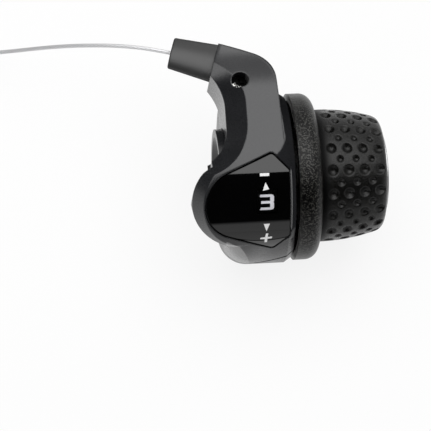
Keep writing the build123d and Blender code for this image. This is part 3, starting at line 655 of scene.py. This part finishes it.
def coil_turns():
    """Control points of the wound turns, from the entry on top to the bare end inside."""
    step = 22.5
    # The curve runs inside its control points by this share
    inside = 0.75 + 0.25 * math.cos(math.radians(step))
    pitch, middle = 1.21, 14.94
    column = [middle + pitch * k for k in range(-2, 3)]
    radius, height, turned = 15.0, 3.65, 0.0
    # Each leg: its turns, and the radius and height that it ends at
    legs = [
        (0.15, column[4] - 0.4, 3.6),
        (0.1, column[4], 2.5),
        (0.1, column[4], pitch),
        (2.0, column[4], -pitch),
        (0.15, column[4], -2 * pitch),
        (0.15, column[3], -2 * pitch),
        (4.0, column[3], 2 * pitch),
        (0.15, column[2], 2 * pitch),
        (4.0, column[2], -2 * pitch),
        (0.15, column[1], -2 * pitch),
        (4.0, column[1], 2 * pitch),
        (0.15, column[0], 2 * pitch),
        (0.15, column[0], pitch),
        (2.0, column[0], -pitch),
    ]
    corners = [(turned, radius, height)]
    for turns, radius, height in legs:
        turned += turns * 360.0
        corners.append((turned, radius, height))
    angles, radii, heights = zip(*corners)
    points = []
    for count in range(int(turned / step) + 1):
        angle = count * step
        radius = numpy.interp(angle, angles, radii) / inside
        height = numpy.interp(angle, angles, heights)
        way = math.radians(90.0 + angle)
        outward = Vector((radius * math.cos(way), radius * math.sin(way), height))
        points.append(coil_middle + outward)
    return points


def lay_wire():
    """Inner wire from the outlet to its tied coil."""
    points = [wire_exit(), *[Vector(point) for point in wire_route], *coil_turns()]
    curve = bpy.data.curves.new("inner_wire", "CURVE")
    curve.dimensions = "3D"
    curve.bevel_depth = wire_diameter / 2 * MM
    curve.bevel_resolution = 3
    curve.resolution_u = 4
    curve.use_fill_caps = True
    spline = curve.splines.new("NURBS")
    spline.points.add(len(points) - 1)
    for spot, point in zip(spline.points, points):
        spot.co = (*(point * MM), 1.0)
    spline.order_u = 3
    spline.use_endpoint_u = True
    wire = bpy.data.objects.new("inner_wire", curve)
    bpy.context.collection.objects.link(wire)
    curve.materials.append(stranded_steel("wire_strands"))
    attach(wire, "housing")
    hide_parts("inner_wire_free", "inner_wire_coil")


def grip_profile():
    """Outside of the rubber as (place, radius) points, finely spaced and smoothed."""
    body_rows, end_step, smoothings = 70, 6, 30
    rows = []
    bulge = grip_middle_radius - (grip_root_radius + grip_tip_radius) / 2
    for place in numpy.linspace(grip_root_x, grip_tip_x, body_rows, endpoint=False):
        share = (place - grip_root_x) / (grip_tip_x - grip_root_x)
        straight = grip_root_radius + share * (grip_tip_radius - grip_root_radius)
        rows.append([place, straight + 4 * bulge * share * (1 - share)])
    for turn in range(0, 91, end_step):
        way = math.radians(turn)
        place = grip_tip_x + (grip_end_x - grip_tip_x) * math.sin(way)
        rows.append([place, grip_end_radius + (grip_tip_radius - grip_end_radius) * math.cos(way)])
    for _ in range(smoothings):
        before = [row[1] for row in rows]
        for index in range(2, len(rows) - 2):
            rows[index][1] = (before[index - 1] + 2 * before[index] + before[index + 1]) / 4
    return rows


def dimple_depth(place, angle):
    """How far the dimples press in the rubber at one spot."""
    radius_here = 19.0
    row_step = 360.0 / dimple_rows
    depth = 0.0
    for (radius, deep), shift_x, shift_row, count in (
        (large_dimple, 0.0, 0.0, dimples_per_row),
        (small_dimple, dimple_pitch / 2, row_step / 2, dimples_per_row - 1),
    ):
        turn = (angle - dimple_first_angle - shift_row) / row_step
        away_turn = (turn - round(turn)) * row_step
        k = min(max(round((place - dimple_first_x - shift_x) / dimple_pitch), 0), count - 1)
        away_x = place - (dimple_first_x + shift_x + k * dimple_pitch)
        share = math.hypot(away_x, math.radians(away_turn) * radius_here) / radius
        if share < 1.0:
            depth = max(depth, deep * (1 - share * share))
    return depth


def make_grip():
    """Dimpled rubber sleeve, turned and then pressed in at each dimple."""
    bore_margin = 0.3
    bm = bmesh.new()
    loop = [(grip_root_x, grip_bore_radius), *grip_profile(), (grip_end_x, grip_bore_radius)]
    verts = [bm.verts.new((x * MM, 0.0, r * MM)) for x, r in loop]
    edges = [bm.edges.new(pair) for pair in zip(verts, verts[1:] + verts[:1])]
    bmesh.ops.spin(
        bm,
        geom=[*verts, *edges],
        cent=(0, 0, 0),
        axis=(1, 0, 0),
        angle=2 * math.pi,
        steps=480,
        use_merge=True,
    )
    for vert in bm.verts:
        x, y, z = vert.co
        radius = math.hypot(y, z)
        if radius < (grip_bore_radius + bore_margin) * MM:
            continue
        pressed = dimple_depth(x / MM, math.degrees(math.atan2(-y, z)))
        share = 1 - pressed * MM / radius
        vert.co = (x, y * share, z * share)
    grip = new_piece("dimpled_grip", bm, grip_rubber("rubber_grain"), "grip")
    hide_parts("grip_sleeve")


def printed_mark(name, outline, radius, angle, material, body):
    """Thin print on a surface round the bar: outline in millimetres along X and up the arc."""
    thickness, lift_off, cut_every, cut_to = 0.03, 0.005, 0.4, 4.0
    bm = bmesh.new()
    face = bm.faces.new([bm.verts.new((x, up, 0.0)) for x, up in outline])
    face.normal_update()
    if face.normal.z < 0:
        face.normal_flip()
    raised = bmesh.ops.extrude_face_region(bm, geom=list(bm.faces))
    top = [item for item in raised["geom"] if isinstance(item, bmesh.types.BMVert)]
    bmesh.ops.translate(bm, verts=top, vec=(0.0, 0.0, thickness))
    for line in numpy.arange(-cut_to, cut_to + 0.01, cut_every):
        bmesh.ops.bisect_plane(
            bm,
            geom=[*bm.verts, *bm.edges, *bm.faces],
            plane_co=(0.0, float(line), 0.0),
            plane_no=(0.0, 1.0, 0.0),
        )
    for vert in bm.verts:
        x, up, lift = vert.co
        way = math.radians(angle) - up / radius
        out = radius + lift + lift_off
        vert.co = (x * MM, -out * math.sin(way) * MM, out * math.cos(way) * MM)
    mark = new_piece(name, bm, material, body, smooth=False)


def print_marks():
    """Signs on the lens and gear numbers on the scale under it."""
    less = [(0.2, -0.44), (2.95, -0.44), (2.95, 0.44), (0.2, 0.44)]
    arrow_up = [(0.86, -1.25), (2.8, -0.85), (1.76, 1.25)]
    arrow_down = [(2.0, -1.4), (2.95, 1.3), (1.1, 1.3)]
    more = [
        (0.28, -0.42), (1.62, -0.37), (1.56, -1.75), (2.3, -1.78), (2.4, -0.33), (3.72, -0.15),
        (3.72, 0.5), (2.44, 0.4), (2.6, 1.8), (1.86, 1.8), (1.66, 0.36), (0.28, 0.22),
    ]
    three = [
        (-2.1, 1.95), (-1.8, 2.38), (1.35, 2.38), (1.9, 2.2), (2.15, 1.75), (2.15, 0.28),
        (1.95, 0.0), (2.15, -0.28), (2.15, -1.75), (1.9, -2.2), (1.35, -2.38), (-2.1, -2.38),
        (-1.7, -1.6), (1.0, -1.6), (1.0, -0.4), (-1.65, -0.4), (-1.65, 0.4), (1.0, 0.4),
        (1.0, 1.6), (-1.85, 1.6),
    ]
    two = [
        (-2.0, 2.6), (1.5, 2.6), (2.1, 2.0), (2.1, 0.2), (1.5, -0.4), (-0.9, -0.4),
        (-0.9, -1.75), (2.1, -1.75), (2.1, -2.6), (-2.0, -2.6), (-2.0, -0.1), (-1.4, 0.45),
        (1.0, 0.45), (1.0, 1.75), (-2.0, 1.75),
    ]
    one = [
        (-0.55, -2.6), (0.6, -2.6), (0.6, 2.6), (-0.3, 2.6), (-1.4, 1.7), (-1.4, 0.9),
        (-0.55, 1.3),
    ]
    number_x = 2.3
    pale = plain_finish("white_print", grey(0.78), grey(0.86), 0.45, 0.3)
    bright = glowing_print("scale_print")
    for name, outline, angle in (
        ("mark_less", less, 13.8),
        ("mark_up", arrow_up, 21.5),
        ("mark_down", arrow_down, 50.3),
        ("mark_more", more, 59.3),
    ):
        printed_mark(name, outline, lens_radius, angle, pale, "housing")
    for name, outline, angle in (
        ("gear_three", three, 34.0),
        ("gear_two", two, 64.0),
        ("gear_one", one, 94.0),
    ):
        moved = [(x + number_x, up) for x, up in outline]
        printed_mark(name, moved, scale_radius, angle, bright, "grip")


def dress_nodes():
    """Finish of every CAD node that stays in view."""
    housing = satin_plastic("housing_satin", 0.35)
    # Plain finishes: dark and pale colour, roughness, grain in millimetres and metallic share
    steel = plain_finish("plated_steel", grey(0.42), grey(0.6), 0.32, 0.25, 1.0)
    dark_nut = plain_finish("blackened_nut", grey(0.008), grey(0.016), 0.45, 0.25, 1.0)
    cast = plain_finish("cast_zinc", (0.35, 0.35, 0.36), (0.5, 0.5, 0.51), 0.45, 0.4, 1.0)
    acetal = plain_finish("white_acetal", (0.68, 0.68, 0.65), (0.78, 0.78, 0.75), 0.4, 0.5)
    matt = plain_finish("matt_black", grey(0.0005), grey(0.0015), 0.6, 0.2, gloss=0.1)
    tie = plain_finish("tie_black", grey(0.012), grey(0.03), 0.42, 0.3)
    wire = plain_finish("wire_steel", (0.36, 0.36, 0.37), (0.66, 0.66, 0.67), 0.32, 0.2, 0.9)
    finishes = {
        "base_housing": housing,
        "top_cover": satin_plastic("cover_satin", 0.6, is_cover=True),
        "arm_plate": housing,
        "cable_outlet": outlet_plastic("outlet_satin"),
        "twist_drum": speckled_plastic("ring_speckle"),
        "cover_screw": screw_with_painted_glints("black_steel_painted_glints"),
        "clamp_nut": dark_nut,
        "window_lens": window_gloss("window_gloss"),
        "window_mask": matt,
        "gear_indicator": matt,
        "thrust_washer": acetal,
        "cable_guide": acetal,
        "cable_nipple": cast,
        "inner_wire_wound": wire,
        "inner_wire_guided": wire,
        "coil_ties": tie,
    }
    for name, node in nodes.items():
        material = finishes.get(name, steel)
        for slot in node.material_slots:
            slot.material = material


bpy.context.scene.view_settings.view_transform = "Standard"
place_camera()
light_studio()
lay_floor()
dress_nodes()
lay_wire()
make_grip()
print_marks()
